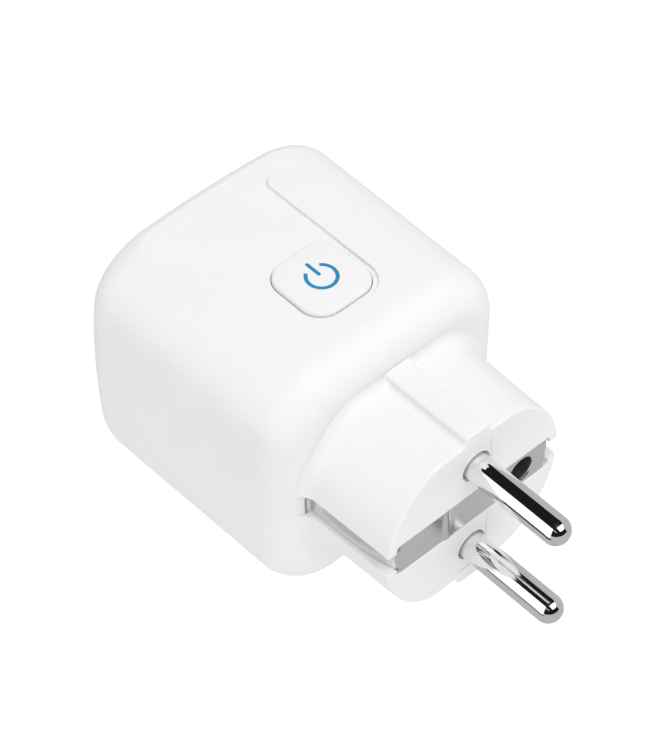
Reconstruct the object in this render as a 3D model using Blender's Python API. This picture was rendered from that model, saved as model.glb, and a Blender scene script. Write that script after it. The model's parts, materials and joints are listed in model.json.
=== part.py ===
"""Plug-in power meter: an adapter with a mains plug behind, a socket in front and a relay and
metering electronics between them, switched by a push button on top.

Metres, +Z up. The adapter lies on its flat underside. Its pins point along +Y and its socket
faces -Y. The world origin is under the middle of its length, on the surface that it lies on.
Every part is placed from the seat: the middle of the plug's end face, between the two pins.
"""
import bpy
import bmesh
from math import atan2, cos, hypot, pi, radians, sin, sqrt
from mathutils import Vector

# Driving dimensions
BODY_HALF_WIDTH = 0.0240
BODY_HALF_HEIGHT = 0.0240
BODY_CORNER = 0.0120
BODY_TAPER = 0.0005
BODY_WALL = 0.0018
BACK_Y = -0.0176
BACK_FILLET = 0.0060
FRONT_Y = -0.0656
FRONT_FILLET = 0.0050
FRONT_BOW_Z = 0.096
FRONT_BOW_X = 0.231
RIM_INSET = 0.0023
PANEL_BACK_Y = -0.0570
BOSS_PLACE = 0.0160
BOSS_END_Y = -0.0224

PIN_SPACING = 0.0190
PIN_LENGTH = 0.0190
PIN_RADIUS = 0.0024
PLUG_END_RADIUS = 0.0182
PLUG_BASE_RADIUS = 0.0187
PLUG_FLAT = 0.0158
PLUG_RIB_HALF_WIDTH = 0.0025
PLUG_RIB_TOP = 0.0176
RECESS_DEPTH = 0.0006
RECESS_HALF_WIDTH = 0.0031
RECESS_END = 0.0144
COLLAR_RADIUS = 0.0031
FACE_CHANNEL_HALF_WIDTH = 0.0034
FACE_CHANNEL_REACH = 0.0162
CHANNEL_HALF_WIDTH = 0.0021
CHANNEL_FLOOR_Y = -0.0011
CHANNEL_FLOOR_X = 0.0152

STRIP_THICKNESS = 0.0008
STRIP_HALF_WIDTH = 0.0030
STRIP_SHOULDER_X = 0.0153
STRIP_SIDE_HALF_WIDTH = 0.0018
STRIP_LEAN = 0.0015
EARTH_HOLE_X = -0.0103
EARTH_HOLE_RADIUS = 0.0024

WELL_RADIUS = 0.0197
WELL_WALL = 0.0014
WELL_FLOOR_Y = -0.0450
WELL_FLOOR_THICKNESS = 0.0020
SOCKET_HOLE_RADIUS = 0.0029

LANE_DEPTH = 0.0007
LANE_HALF_WIDTH = 0.0072
LANE_BACK_Y = -0.0266
LANE_FRONT_Y = -0.0560
BUTTON_HALF = 0.0066
BUTTON_Y = -0.0344
BUTTON_CORNER = 0.0040
BUTTON_TRAVEL = 0.0005
ICON_RADIUS = 0.00245
ICON_STROKE = 0.00065
ICON_BAR_LENGTH = 0.0032
ICON_GAP = radians(66)

BOARD_BACK_Y = -0.0262
BOARD_FRONT_Y = -0.0278
BRACKET_Y = -0.0399
POST_END_Y = -0.0392
BUTTON_BOARD_TOP = 0.0152
SWITCH_TOP = 0.0200
CLEARANCE = 0.0003

WELL_MOUTH = 0.0007
FRONT_END_Y = FRONT_Y + (WELL_RADIUS + WELL_MOUTH) ** 2 / (2 * FRONT_BOW_X)
SEAT_Y = (PIN_LENGTH - FRONT_END_Y) / 2 - PIN_LENGTH
SEAT_Z = BODY_HALF_HEIGHT


# Scene, materials and parts

def clear_scene():
    """Remove what a new file holds."""
    for item in list(bpy.data.objects):
        bpy.data.objects.remove(item)


def make_material(name, colour, roughness, metallic=0.0):
    """A Principled material of one colour."""
    material = bpy.data.materials.new(name)
    material.use_nodes = True
    shader = material.node_tree.nodes["Principled BSDF"]
    shader.inputs["Base Color"].default_value = (*colour, 1.0)
    shader.inputs["Roughness"].default_value = roughness
    shader.inputs["Metallic"].default_value = metallic
    material.diffuse_color = (*colour, 1.0)
    return material


def make_empty(name, location, parent=None):
    """An empty that parts hang on."""
    empty = bpy.data.objects.new(name, None)
    empty.location = location
    empty.parent = parent
    bpy.context.collection.objects.link(empty)
    return empty


def make_part(name, shape, material, parent, location=(0.0, 0.0, 0.0)):
    """Turn a bmesh into a named object that hangs on an empty."""
    bmesh.ops.recalc_face_normals(shape, faces=shape.faces)
    mesh = bpy.data.meshes.new(name)
    shape.to_mesh(mesh)
    shape.free()
    mesh.shade_smooth()
    mesh.set_sharp_from_angle(angle=radians(32))
    if material:
        mesh.materials.append(material)
    part = bpy.data.objects.new(name, mesh)
    part.location = location
    part.parent = parent
    bpy.context.collection.objects.link(part)
    return part


def combine(part, shape, operation):
    """Apply a hidden helper shape to a part with a Boolean."""
    count = len(part.modifiers) + 1
    helper = make_part(f"{part.name}_helper_{count}", shape, None, part.parent)
    helper.location = part.location
    helper.hide_render = True
    helper.display_type = "WIRE"
    boolean = part.modifiers.new(f"helper_{count}", "BOOLEAN")
    boolean.operation = operation
    boolean.solver = "EXACT"
    boolean.object = helper


def cut(part, shape):
    """Take a shape away from a part."""
    combine(part, shape, "DIFFERENCE")


def weld(part, shape):
    """Add a shape to a part."""
    combine(part, shape, "UNION")


# Outlines: closed lists of (u, v) points

def arc(centre, radius, start, end, steps):
    """Points along an arc, both ends included."""
    points = []
    for step in range(steps + 1):
        angle = start + (end - start) * step / steps
        points.append((centre[0] + radius * cos(angle), centre[1] + radius * sin(angle)))
    return points


def circle(radius, steps=24, centre=(0.0, 0.0)):
    """A full circle."""
    return arc(centre, radius, 0.0, 2 * pi, steps)[:-1]


def rounded_rectangle(half_u, half_v, radius, steps=4, centre=(0.0, 0.0)):
    """A rectangle with round corners, starting at the upper right."""
    points = []
    for quarter, (sign_u, sign_v) in enumerate([(1, 1), (-1, 1), (-1, -1), (1, -1)]):
        corner = (centre[0] + sign_u * (half_u - radius), centre[1] + sign_v * (half_v - radius))
        points += arc(corner, radius, quarter * pi / 2, (quarter + 1) * pi / 2, steps)
    return points


def rounded_polygon(corners, steps=3):
    """A polygon whose corners are (u, v, radius), run anticlockwise or clockwise."""
    points = []
    for index, (u, v, radius) in enumerate(corners):
        here = Vector((u, v))
        before = Vector(corners[index - 1][:2])
        after = Vector(corners[(index + 1) % len(corners)][:2])
        if radius == 0.0:
            points.append((u, v))
            continue
        to_before = (before - here).normalized()
        to_after = (after - here).normalized()
        half_angle = to_before.angle(to_after) / 2
        middle = here + (to_before + to_after).normalized() * radius / sin(half_angle)
        reach = radius * cos(half_angle) / sin(half_angle)
        first = here + to_before * reach - middle
        last = here + to_after * reach - middle
        start = atan2(first.y, first.x)
        sweep = (atan2(last.y, last.x) - start + pi) % (2 * pi) - pi
        points += arc(middle, radius, start, start + sweep, steps)
    return points


def ribbon(path, thickness):
    """The outline of a strip of even thickness that follows an open path."""
    left = []
    right = []
    for index, point in enumerate(path):
        before = Vector(path[max(index - 1, 0)])
        after = Vector(path[min(index + 1, len(path) - 1)])
        here = Vector(point)
        into = (here - before).normalized() if index > 0 else (after - here).normalized()
        out = (after - here).normalized() if index < len(path) - 1 else into
        tangent = (into + out).normalized()
        normal = Vector((-tangent.y, tangent.x))
        offset = normal * (thickness / 2 / max(normal.dot(Vector((-into.y, into.x))), 0.3))
        left.append(tuple(here + offset))
        right.append(tuple(here - offset))
    return left + right[::-1]


# Solids: closed bmeshes

def loft(rings):
    """Join rings of equal length one after another, with a flat cap at each end."""
    shape = bmesh.new()
    rows = [[shape.verts.new(point) for point in ring] for ring in rings]
    count = len(rings[0])
    for low, high in zip(rows, rows[1:]):
        for index in range(count):
            following = (index + 1) % count
            shape.faces.new((low[index], low[following], high[following], high[index]))
    shape.faces.new(rows[0][::-1])
    shape.faces.new(rows[-1])
    return shape


def lift(point, axis, level):
    """Put an outline's point into space, on the plane where the axis has this level."""
    u, v = point
    if axis == "X":
        return (level, u, v)
    if axis == "Y":
        return (u, level, v)
    return (u, v, level)


def prism(outline, axis, low, high):
    """An outline drawn out along an axis."""
    return loft([[lift(point, axis, level) for point in outline] for level in (low, high)])


def box(low, high):
    """A plain block between two corners."""
    outline = [(low[0], low[1]), (high[0], low[1]), (high[0], high[1]), (low[0], high[1])]
    return prism(outline, "Z", low[2], high[2])


def soft_box(low, high, width):
    """A block with all its edges bevelled."""
    shape = box(low, high)
    bmesh.ops.bevel(shape, geom=shape.edges, offset=width, segments=1, affect="EDGES", profile=0.5)
    return shape


def rod(axis, centre, radius, low, high, steps=20):
    """A round bar along an axis, through a centre given in the plane across it."""
    return prism(circle(radius, steps, centre), axis, low, high)


def turned(axis, centre, profile, steps=24):
    """A turned body: circles of (radius, level) along an axis."""
    rings = []
    for radius, level in profile:
        rings.append([lift(point, axis, level) for point in circle(radius, steps, centre)])
    return loft(rings)


def tube(axis, centre, outer, inner, low, high, steps=24):
    """A round tube, open at both ends."""
    shape = bmesh.new()
    levels = [(outer, low), (outer, high), (inner, high), (inner, low)]
    rows = []
    for radius, level in levels:
        ring = circle(radius, steps, centre)
        rows.append([shape.verts.new(lift(point, axis, level)) for point in ring])
    for row, following_row in zip(rows, rows[1:] + rows[:1]):
        for index in range(steps):
            after = (index + 1) % steps
            shape.faces.new((row[index], row[after], following_row[after], following_row[index]))
    return shape


def wire(points, radius, steps=6):
    """A round wire through points in space."""
    rings = []
    side = Vector((0.0, 0.0, 1.0))
    for index, point in enumerate(points):
        before = Vector(points[max(index - 1, 0)])
        after = Vector(points[min(index + 1, len(points) - 1)])
        tangent = (after - before).normalized()
        if abs(tangent.dot(side)) > 0.9:
            side = Vector((1.0, 0.0, 0.0))
        across = tangent.cross(side).normalized()
        side = across.cross(tangent).normalized()
        ring = []
        for u, v in circle(radius, steps):
            ring.append(tuple(Vector(point) + across * u + side * v))
        rings.append(ring)
    return loft(rings)


# Casing

def front_y(x, z):
    """The bowed front face's place at a point across it."""
    return FRONT_Y + x * x / (2 * FRONT_BOW_X) + z * z / (2 * FRONT_BOW_Z)


def fillet_drop(inset):
    """How far the front's rounded edge has fallen back at this distance in from the side."""
    if inset >= FRONT_FILLET:
        return 0.0
    return FRONT_FILLET - sqrt(FRONT_FILLET ** 2 - (FRONT_FILLET - inset) ** 2)


def body_outline(inset, corner_steps=5, side_steps=5):
    """The body's rounded square, moved in from its sides, with points along its sides too."""
    corner = max(BODY_CORNER - inset, 0.001)
    half_x = BODY_HALF_WIDTH - inset
    half_z = BODY_HALF_HEIGHT - inset
    arcs = rounded_rectangle(half_x, half_z, corner, corner_steps)
    points = []
    for quarter in range(4):
        points += arcs[quarter * (corner_steps + 1):(quarter + 1) * (corner_steps + 1)]
        start = Vector(points[-1])
        end = Vector(arcs[(quarter + 1) * (corner_steps + 1) % len(arcs)])
        for step in range(1, side_steps + 1):
            points.append(tuple(start.lerp(end, step / (side_steps + 1))))
    return points


def level_ring(inset, y, narrowing=0.0):
    """A ring round the body at one y; narrowing takes the two sides in further."""
    scale = 1 - narrowing / BODY_HALF_WIDTH
    return [(x * scale, y, z) for x, z in body_outline(inset)]


def front_ring(inset):
    """A ring on the bowed front and its rounded edge."""
    drop = fillet_drop(inset)
    return [(x, front_y(x, z) + drop, z) for x, z in body_outline(inset)]


def round_ring(radius, place):
    """A circle with its points beside those of the body's rings; place gives y from x and z."""
    ring = []
    for x, z in body_outline(0.0):
        scale = radius / hypot(x, z)
        ring.append((x * scale, place(x * scale, z * scale), z * scale))
    return ring


def plug_outline(radius, grow=0.0, steps=5):
    """The plug's core: a circle with a flat above and below and a channel down each side."""
    reach = radius + grow
    flat = PLUG_FLAT + grow
    half = CHANNEL_HALF_WIDTH - grow
    floor = CHANNEL_FLOOR_X + grow
    start = atan2(half, sqrt(reach * reach - half * half))
    end = atan2(flat, sqrt(reach * reach - flat * flat))
    right = [(floor, half)] + arc((0.0, 0.0), reach, start, end, steps)
    left = [(-x, z) for x, z in reversed(right)]
    return right + left + [(-x, -z) for x, z in right + left]


def plug_ring(y, radius, inset=0.0):
    """A ring round the plug's core, moved in where its end is rounded."""
    return [(x, y, z) for x, z in plug_outline(radius, -inset)]


def boss_places():
    """The four corners where the plug's moulding is screwed to the shell."""
    return [(x, z) for x in (-BOSS_PLACE, BOSS_PLACE) for z in (-BOSS_PLACE, BOSS_PLACE)]


def build_housing_shell(seat, material):
    """The sleeve and its rounded back wall, open in front, with the lane that holds the button."""
    inner = BODY_WALL + BODY_TAPER
    inner_back = BACK_Y - BODY_WALL
    rings = []
    for angle in (90.0, 67.5, 45.0, 22.5, 0.0):
        inset = BACK_FILLET * (1 - cos(radians(angle)))
        rings.append(level_ring(inset, BACK_Y - BACK_FILLET * (1 - sin(radians(angle))), BODY_TAPER))
    for inset in (0.0, 0.0004, 0.0012, RIM_INSET):
        rings.append(front_ring(inset))
    rings.append(level_ring(RIM_INSET, PANEL_BACK_Y))
    rings.append(level_ring(inner, PANEL_BACK_Y + 0.0006))
    rings.append(level_ring(inner, inner_back - 0.0030))
    rings.append(level_ring(inner + 0.0010, inner_back - 0.0010))
    rings.append(level_ring(inner + 0.0030, inner_back))
    shell = make_part("housing_shell", loft(rings), material, seat)

    for place in boss_places():
        weld(shell, rod("Y", place, 0.0024, BOSS_END_Y, inner_back + 0.0005, 12))
        cut(shell, rod("Y", place, 0.0013, BOSS_END_Y - 0.001, BOSS_END_Y + 0.003, 8))

    opening = plug_outline(PLUG_BASE_RADIUS, CLEARANCE)
    cut(shell, prism(opening, "Y", BACK_Y - 0.006, BACK_Y + 0.004))
    rib = PLUG_RIB_HALF_WIDTH + CLEARANCE
    reach = PLUG_RIB_TOP + CLEARANCE
    cut(shell, box((-rib, BACK_Y - 0.006, -reach), (rib, BACK_Y + 0.004, reach)))

    far = 2 * BODY_HALF_WIDTH
    lane = rounded_polygon([
        (LANE_HALF_WIDTH, LANE_BACK_Y, 0.0046),
        (LANE_HALF_WIDTH, LANE_FRONT_Y, 0.0020),
        (far, LANE_FRONT_Y, 0.0),
        (far, -2 * far, 0.0),
        (-far, -2 * far, 0.0),
        (-far, LANE_FRONT_Y, 0.0),
        (-LANE_HALF_WIDTH, LANE_FRONT_Y, 0.0020),
        (-LANE_HALF_WIDTH, LANE_BACK_Y, 0.0046),
    ], 4)
    cut(shell, prism(lane, "Z", BODY_HALF_HEIGHT - LANE_DEPTH, BODY_HALF_HEIGHT + 0.002))
    half = BUTTON_HALF + CLEARANCE
    hole = rounded_rectangle(half, half, BUTTON_CORNER + CLEARANCE, 5, (0.0, BUTTON_Y))
    cut(shell, prism(hole, "Z", BODY_HALF_HEIGHT - 0.006, BODY_HALF_HEIGHT + 0.003))


def build_plug_base(seat, material):
    """The plug's moulding: round core, central rib, channel for the earth strip, inner flange."""
    flange_back = BOSS_END_Y - CLEARANCE
    flange_front = flange_back - 0.0015
    rings = [plug_ring(flange_back - 0.0005, PLUG_BASE_RADIUS), plug_ring(BACK_Y, PLUG_BASE_RADIUS)]
    edge = 0.0012
    for angle in (0.0, 30.0, 60.0, 90.0):
        y = -edge * (1 - sin(radians(angle)))
        rings.append(plug_ring(y, PLUG_END_RADIUS, edge * (1 - cos(radians(angle)))))
    base = make_part("plug_base", loft(rings), material, seat)

    rib = soft_box((-PLUG_RIB_HALF_WIDTH, BACK_Y - 0.003, -PLUG_RIB_TOP),
                   (PLUG_RIB_HALF_WIDTH, -0.0001, PLUG_RIB_TOP), 0.0005)
    weld(base, rib)
    recess = rounded_rectangle(RECESS_HALF_WIDTH, RECESS_END, 0.0012, 3)
    cut(base, prism(recess, "Y", -RECESS_DEPTH, 0.001))
    weld(base, prism(body_outline(0.0031, 4, 1), "Y", flange_front, flange_back))
    weld(base, rod("Y", (0.0, 0.0), 0.0032, POST_END_Y, flange_back, 16))

    face_channel = rounded_polygon([
        (FACE_CHANNEL_REACH, FACE_CHANNEL_HALF_WIDTH, 0.0),
        (FACE_CHANNEL_REACH, CHANNEL_HALF_WIDTH, 0.0),
        (PLUG_BASE_RADIUS + 0.005, CHANNEL_HALF_WIDTH, 0.0),
    ])
    face_channel += [(x, -z) for x, z in reversed(face_channel)]
    face_channel += [(-x, -z) for x, z in face_channel]
    cut(base, prism(face_channel, "Y", CHANNEL_FLOOR_Y, 0.002))

    for side in (-1, 1):
        near, deep = sorted((side * 0.0066, side * 0.0137))
        cut(base, box((near, flange_front - 0.001, -0.0046), (deep, -0.0042, 0.0046)))
        place = (0.0, side * PIN_SPACING / 2)
        weld(base, rod("Y", place, COLLAR_RADIUS, -0.0030, -0.0001, 20))
        cut(base, rod("Y", place, 0.0026, flange_front - 0.001, 0.001, 20))
    cut(base, rod("Y", (EARTH_HOLE_X, 0.0), 0.0031, -0.005, 0.001, 20))
    cut(base, rod("Y", (0.0, 0.0), 0.0015, POST_END_Y - 0.001, -0.0285, 12))
    for place in boss_places():
        cut(base, rod("Y", place, 0.0013, flange_front - 0.001, flange_back + 0.001, 8))


def build_socket_panel(seat, material):
    """The socket's face and its round well, with holes for the pins, the clips and a screw."""
    mouth = WELL_MOUTH
    floor_back = WELL_FLOOR_Y + WELL_FLOOR_THICKNESS
    edge_inset = RIM_INSET + CLEARANCE
    outer = WELL_RADIUS + WELL_WALL
    panel = make_part("socket_panel", loft([
        round_ring(WELL_RADIUS, lambda x, z: WELL_FLOOR_Y),
        round_ring(WELL_RADIUS, lambda x, z: front_y(x, z) + mouth),
        round_ring(WELL_RADIUS + mouth, front_y),
        front_ring(edge_inset),
        level_ring(edge_inset, PANEL_BACK_Y),
        round_ring(outer, lambda x, z: PANEL_BACK_Y),
        round_ring(outer, lambda x, z: floor_back),
    ]), material, seat)

    for side_x in (-1, 1):
        for side_z in (-1, 1):
            low_x, high_x = sorted((side_x * 0.0036, side_x * 0.0074))
            low_z, high_z = sorted((side_z * 0.0164, side_z * 0.0195))
            guide_end = WELL_FLOOR_Y - 0.0145
            weld(panel, box((low_x, guide_end, low_z), (high_x, WELL_FLOOR_Y + 0.001, high_z)))
    boss_end = BRACKET_Y - STRIP_THICKNESS / 2 - 0.00015
    weld(panel, rod("Y", (0.0, 0.0), 0.0030, WELL_FLOOR_Y + 0.001, boss_end, 20))
    screw_way = [(0.0029, WELL_FLOOR_Y - 0.001), (0.0029, WELL_FLOOR_Y + 0.0004),
                 (0.0016, WELL_FLOOR_Y + 0.0017), (0.0016, boss_end + 0.001)]
    cut(panel, turned("Y", (0.0, 0.0), screw_way, 20))
    for side in (-1, 1):
        hole = [(SOCKET_HOLE_RADIUS + 0.0007, WELL_FLOOR_Y - 0.001),
                (SOCKET_HOLE_RADIUS + 0.0007, WELL_FLOOR_Y),
                (SOCKET_HOLE_RADIUS, WELL_FLOOR_Y + 0.0007),
                (SOCKET_HOLE_RADIUS, floor_back + 0.001)]
        cut(panel, turned("Y", (0.0, side * PIN_SPACING / 2), hole, 20))
        near, deep = sorted((side * 0.0171, side * 0.0191))
        cut(panel, box((near, WELL_FLOOR_Y - 0.001, -0.0031), (deep, floor_back + 0.001, 0.0031)))


# Button

def icon_outlines(grow):
    """The power icon's open ring and its bar, seen from above, with the gap towards the front."""
    half = ICON_STROKE / 2 + grow
    end = grow / ICON_RADIUS
    start = -pi / 2 + ICON_GAP / 2 - end
    finish = 3 * pi / 2 - ICON_GAP / 2 + end
    outer = arc((0.0, BUTTON_Y), ICON_RADIUS + half, start, finish, 24)
    inner = arc((0.0, BUTTON_Y), ICON_RADIUS - half, finish, start, 24)
    middle = (0.0, BUTTON_Y - ICON_RADIUS + ICON_BAR_LENGTH * 0.16)
    bar = rounded_rectangle(half, ICON_BAR_LENGTH / 2 + grow, half * 0.95, 3, middle)
    return outer + inner, bar


def cap_ring(half, level):
    """A ring round the button's cap."""
    corner = max(BUTTON_CORNER + half - BUTTON_HALF, 0.0015)
    return [(x, y, level) for x, y in rounded_rectangle(half, half, corner, 5, (0.0, BUTTON_Y))]


def build_button(button_axis, cap_material, icon_material):
    """The push button's cap and the light guide that shows its icon."""
    top = BODY_HALF_HEIGHT
    flange_top = top - BODY_WALL - BODY_TAPER - CLEARANCE
    flange_bottom = flange_top - 0.0010
    flange_half = BUTTON_HALF + 0.0009
    cap = make_part("button_cap", loft([
        cap_ring(flange_half, flange_bottom),
        cap_ring(flange_half, flange_top),
        cap_ring(BUTTON_HALF, flange_top),
        cap_ring(BUTTON_HALF, top - 0.0005),
        cap_ring(BUTTON_HALF - 0.00015, top - 0.0002),
        cap_ring(BUTTON_HALF - 0.0005, top),
        cap_ring(BUTTON_HALF - 0.0018, top + 0.00012),
    ]), cap_material, button_axis)
    skin = top - 0.0012
    cut(cap, rod("Z", (0.0, BUTTON_Y), 0.0048, flange_bottom - 0.001, skin, 20))
    for outline in icon_outlines(0.0001):
        cut(cap, prism(outline, "Z", skin - 0.001, top + 0.001))

    guide_top = skin - CLEARANCE
    disc = rod("Z", (0.0, BUTTON_Y), 0.0044, guide_top - 0.0011, guide_top, 20)
    guide = make_part("icon_light_guide", disc, icon_material, button_axis)
    for outline in icon_outlines(0.0):
        weld(guide, prism(outline, "Z", guide_top - 0.0005, top + 0.00012))
    weld(guide, rod("Z", (0.0, BUTTON_Y), 0.0016, SWITCH_TOP + CLEARANCE, guide_top - 0.0005, 12))


# Metal parts

def build_pin(name, side, seat, material):
    """A solid pin with a round tip and a thinner tail for the board."""
    profile = [(0.0010, BOARD_FRONT_Y - 0.0003), (0.0010, -0.0246), (PIN_RADIUS, -0.0246)]
    tip_centre = PIN_LENGTH - PIN_RADIUS
    for angle in (0.0, 22.5, 45.0, 65.0):
        turn = radians(angle)
        profile.append((PIN_RADIUS * cos(turn), tip_centre + PIN_RADIUS * sin(turn)))
    profile.append((PIN_RADIUS * 0.15, PIN_LENGTH))
    make_part(name, turned("Y", (0.0, side * PIN_SPACING / 2), profile, 20), material, seat)


def build_plug_earth_strip(seat, material):
    """The strip across the plug's face and down its sides, with the hole for an earth pin."""
    across = CHANNEL_FLOOR_Y + 0.0002 + STRIP_THICKNESS / 2
    side = CHANNEL_FLOOR_X + 0.0002 + STRIP_THICKNESS / 2
    bend = 0.0009
    back = BACK_Y + 0.0004
    right = [(side + STRIP_LEAN, back), (side + STRIP_LEAN - 0.0001, -0.0100)]
    right += arc((side - bend, across - bend), bend, 0.0, pi / 2, 4)
    left = [(-x, y) for x, y in reversed(right)]
    bead = [(0.0082, across), (0.0068, across - 0.0001), (0.0056, across + 0.00035), (0.0042, across)]
    outline = ribbon(right + bead + left, STRIP_THICKNESS)
    shape = prism(outline, "Z", -STRIP_HALF_WIDTH, STRIP_HALF_WIDTH)
    strip = make_part("plug_earth_strip", shape, material, seat)
    for end in (-1, 1):
        near, far = sorted((end * STRIP_SHOULDER_X, end * (side + 0.004)))
        for edge in (-1, 1):
            low, high = sorted((edge * STRIP_SIDE_HALF_WIDTH, edge * (STRIP_HALF_WIDTH + 0.001)))
            cut(strip, box((near, back - 0.001, low), (far, 0.001, high)))
    place = (EARTH_HOLE_X, 0.0)
    weld(strip, rod("Y", place, EARTH_HOLE_RADIUS + 0.0004, -0.0040, across, 20))
    cut(strip, rod("Y", place, EARTH_HOLE_RADIUS, -0.0060, 0.001, 20))


def build_earth_path(seat, brass, steel):
    """The sleeve that grips an earth pin, the link behind it and the socket's two earth clips."""
    sleeve = tube("Y", (EARTH_HOLE_X, 0.0), 0.0030, 0.0025, -0.0155, -0.0044, 20)
    make_part("earth_sleeve", sleeve, brass, seat)

    link_y = BRACKET_Y + STRIP_THICKNESS / 2 + CLEARANCE + 0.0003
    path = [(-0.0080, link_y), (-0.0116, link_y), (-0.0122, link_y + 0.0006)]
    path += [(-0.0122, -0.0195), (-0.0103, -0.0172), (-0.0103, -0.0158)]
    make_part("earth_link", prism(ribbon(path, 0.0006), "Z", -0.0015, 0.0015), steel, seat)

    right = [(0.0, BRACKET_Y), (0.0170, BRACKET_Y), (0.0178, BRACKET_Y - 0.0007)]
    right += [(0.0180, -0.0440), (0.0184, -0.0475), (0.0180, -0.0500), (0.0166, -0.0535)]
    right += [(0.0164, -0.0550), (0.0168, -0.0562), (0.0186, -0.0590)]
    path = [(-x, y) for x, y in reversed(right[1:])] + right
    clips = prism(ribbon(path, STRIP_THICKNESS), "Z", -0.0026, 0.0026)
    clips = make_part("socket_earth_bracket", clips, steel, seat)
    cut(clips, rod("Y", (0.0, 0.0), 0.0018, BRACKET_Y - 0.002, BRACKET_Y + 0.002, 16))


def build_contact(name, side, seat, material):
    """A sprung fork that grips one pin of the appliance's plug, with a tail for the board."""
    base_y = BOARD_FRONT_Y - 0.0009
    right = [(0.0, base_y), (0.0024, base_y), (0.0029, base_y - 0.0005)]
    right += [(0.0029, base_y - 0.0030), (0.0023, -0.0362), (0.0032, -0.0384)]
    path = [(-x, y) for x, y in reversed(right[1:])] + right
    middle = side * PIN_SPACING / 2
    fork = prism(ribbon(path, 0.0005), "Z", middle - 0.0031, middle + 0.0031)
    fork = make_part(name, fork, material, seat)
    low, high = sorted((side * 0.0108, side * 0.0120))
    weld(fork, box((-0.0005, base_y, low), (0.0005, BOARD_BACK_Y + 0.0008, high)))


def build_shutter(shutter_axis, plastic, steel):
    """The turning shutter behind the well's floor, which covers both pin holes, and its spring."""
    low = WELL_FLOOR_Y + WELL_FLOOR_THICKNESS + CLEARANCE
    high = low + 0.0014
    bar = rounded_rectangle(0.0034, 0.0129, 0.0033, 5)
    rotor = make_part("shutter_rotor", prism(bar, "Y", low, high), plastic, shutter_axis)
    weld(rotor, rod("Y", (0.0, 0.0), 0.0052, low, high, 24))
    cut(rotor, rod("Y", (0.0, 0.0), 0.0033, low - 0.001, high + 0.001, 20))

    coil_y = high + 0.0003
    rise = 0.0003
    points = [(0.0072, coil_y, 0.0012)]
    for step in range(21):
        angle = 2.5 * pi * step / 20
        points.append((0.0038 * cos(angle), coil_y + rise * step / 20, 0.0038 * sin(angle)))
    points.append((-0.0015, coil_y + rise, 0.0072))
    make_part("shutter_spring", wire(points, 0.00011), steel, shutter_axis)


# Electronics

def build_main_board(seat, material):
    """The board across the body, with holes for the post, the tails and the earth link."""
    outline = body_outline(0.0034, 4, 1)
    board = make_part("main_board", prism(outline, "Y", BOARD_FRONT_Y, BOARD_BACK_Y), material, seat)
    low = BOARD_FRONT_Y - 0.001
    high = BOARD_BACK_Y + 0.001
    cut(board, rod("Y", (0.0, 0.0), 0.0036, low, high, 16))
    for side in (-1, 1):
        cut(board, rod("Y", (0.0, side * PIN_SPACING / 2), 0.0013, low, high, 12))
        cut(board, box((-0.0008, low, side * 0.0114 - 0.0009), (0.0008, high, side * 0.0114 + 0.0009)))
    cut(board, box((-0.0129, low, -0.0019), (-0.0115, high, 0.0019)))
    under_button = BUTTON_HALF + 0.0015
    cut(board, box((-under_button, low, 0.0193), (under_button, high, BODY_HALF_HEIGHT)))


def build_board_parts(seat, materials):
    """What is soldered to the main board, standing on its front or lying on its back."""
    front = BOARD_FRONT_Y - CLEARANCE
    back = BOARD_BACK_Y + CLEARANCE
    edge = 0.0004
    blocks = [
        ("relay", (0.0052, front - 0.0114, -0.0182), (0.0184, front, -0.0034), "relay_case"),
        ("film_capacitor", (-0.0126, front - 0.0105, -0.0175), (-0.0066, front, -0.0045), "film_case"),
        ("metering_chip", (-0.0146, front - 0.0015, 0.0136), (-0.0096, front, 0.0176), "chip"),
        ("power_chip", (0.0082, front - 0.0015, 0.0146), (0.0130, front, 0.0184), "chip"),
        ("bridge_rectifier", (-0.0105, back, 0.0045), (-0.0055, back + 0.0013, 0.0085), "chip"),
    ]
    for name, low, high, slot in blocks:
        make_part(name, soft_box(low, high, edge), materials[slot], seat)

    can = [(0.0037, front), (0.0040, front - 0.0003), (0.0040, front - 0.0012),
           (0.0037, front - 0.0016), (0.0040, front - 0.0020), (0.0040, front - 0.0108),
           (0.0036, front - 0.0112)]
    can_place = (0.0135, 0.0090)
    make_part("electrolytic_capacitor", turned("Y", can_place, can, 20), materials["can"], seat)

    bobbin = [(0.0032, front), (0.0032, front - 0.0010), (0.0026, front - 0.0013),
              (0.0026, front - 0.0060), (0.0032, front - 0.0063), (0.0032, front - 0.0073)]
    bobbin_place = (-0.0100, 0.0072)
    make_part("power_inductor", turned("Y", bobbin_place, bobbin, 16), materials["ferrite"], seat)

    disc = rod("X", (front - 0.0052, -0.0110), 0.0045, -0.0180, -0.0146, 16)
    make_part("varistor", disc, materials["varistor"], seat)

    resistor = [(0.0012, front - 0.0008), (0.0016, front - 0.0014), (0.0013, front - 0.0024),
                (0.0013, front - 0.0066), (0.0016, front - 0.0076), (0.0012, front - 0.0082)]
    make_part("fusible_resistor", turned("Y", (0.0165, 0.0157), resistor, 12), materials["resistor"], seat)

    staple = [(-0.0040, front), (-0.0040, front - 0.0040), (0.0040, front - 0.0040), (0.0040, front)]
    shunt = prism(ribbon(staple, 0.0006), "Z", -0.0190, -0.0165)
    make_part("current_shunt", shunt, materials["manganin"], seat)

    for name, side, reach in (("live_busbar", -1, 0.0125), ("neutral_busbar", 1, 0.0090)):
        middle = (0.5 * (reach + 0.0016), side * PIN_SPACING / 2)
        bar = rounded_rectangle(0.5 * (reach - 0.0016), 0.0014, 0.0006, 2, middle)
        make_part(name, prism(bar, "Y", back, back + 0.0008), materials["brass"], seat)


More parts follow.
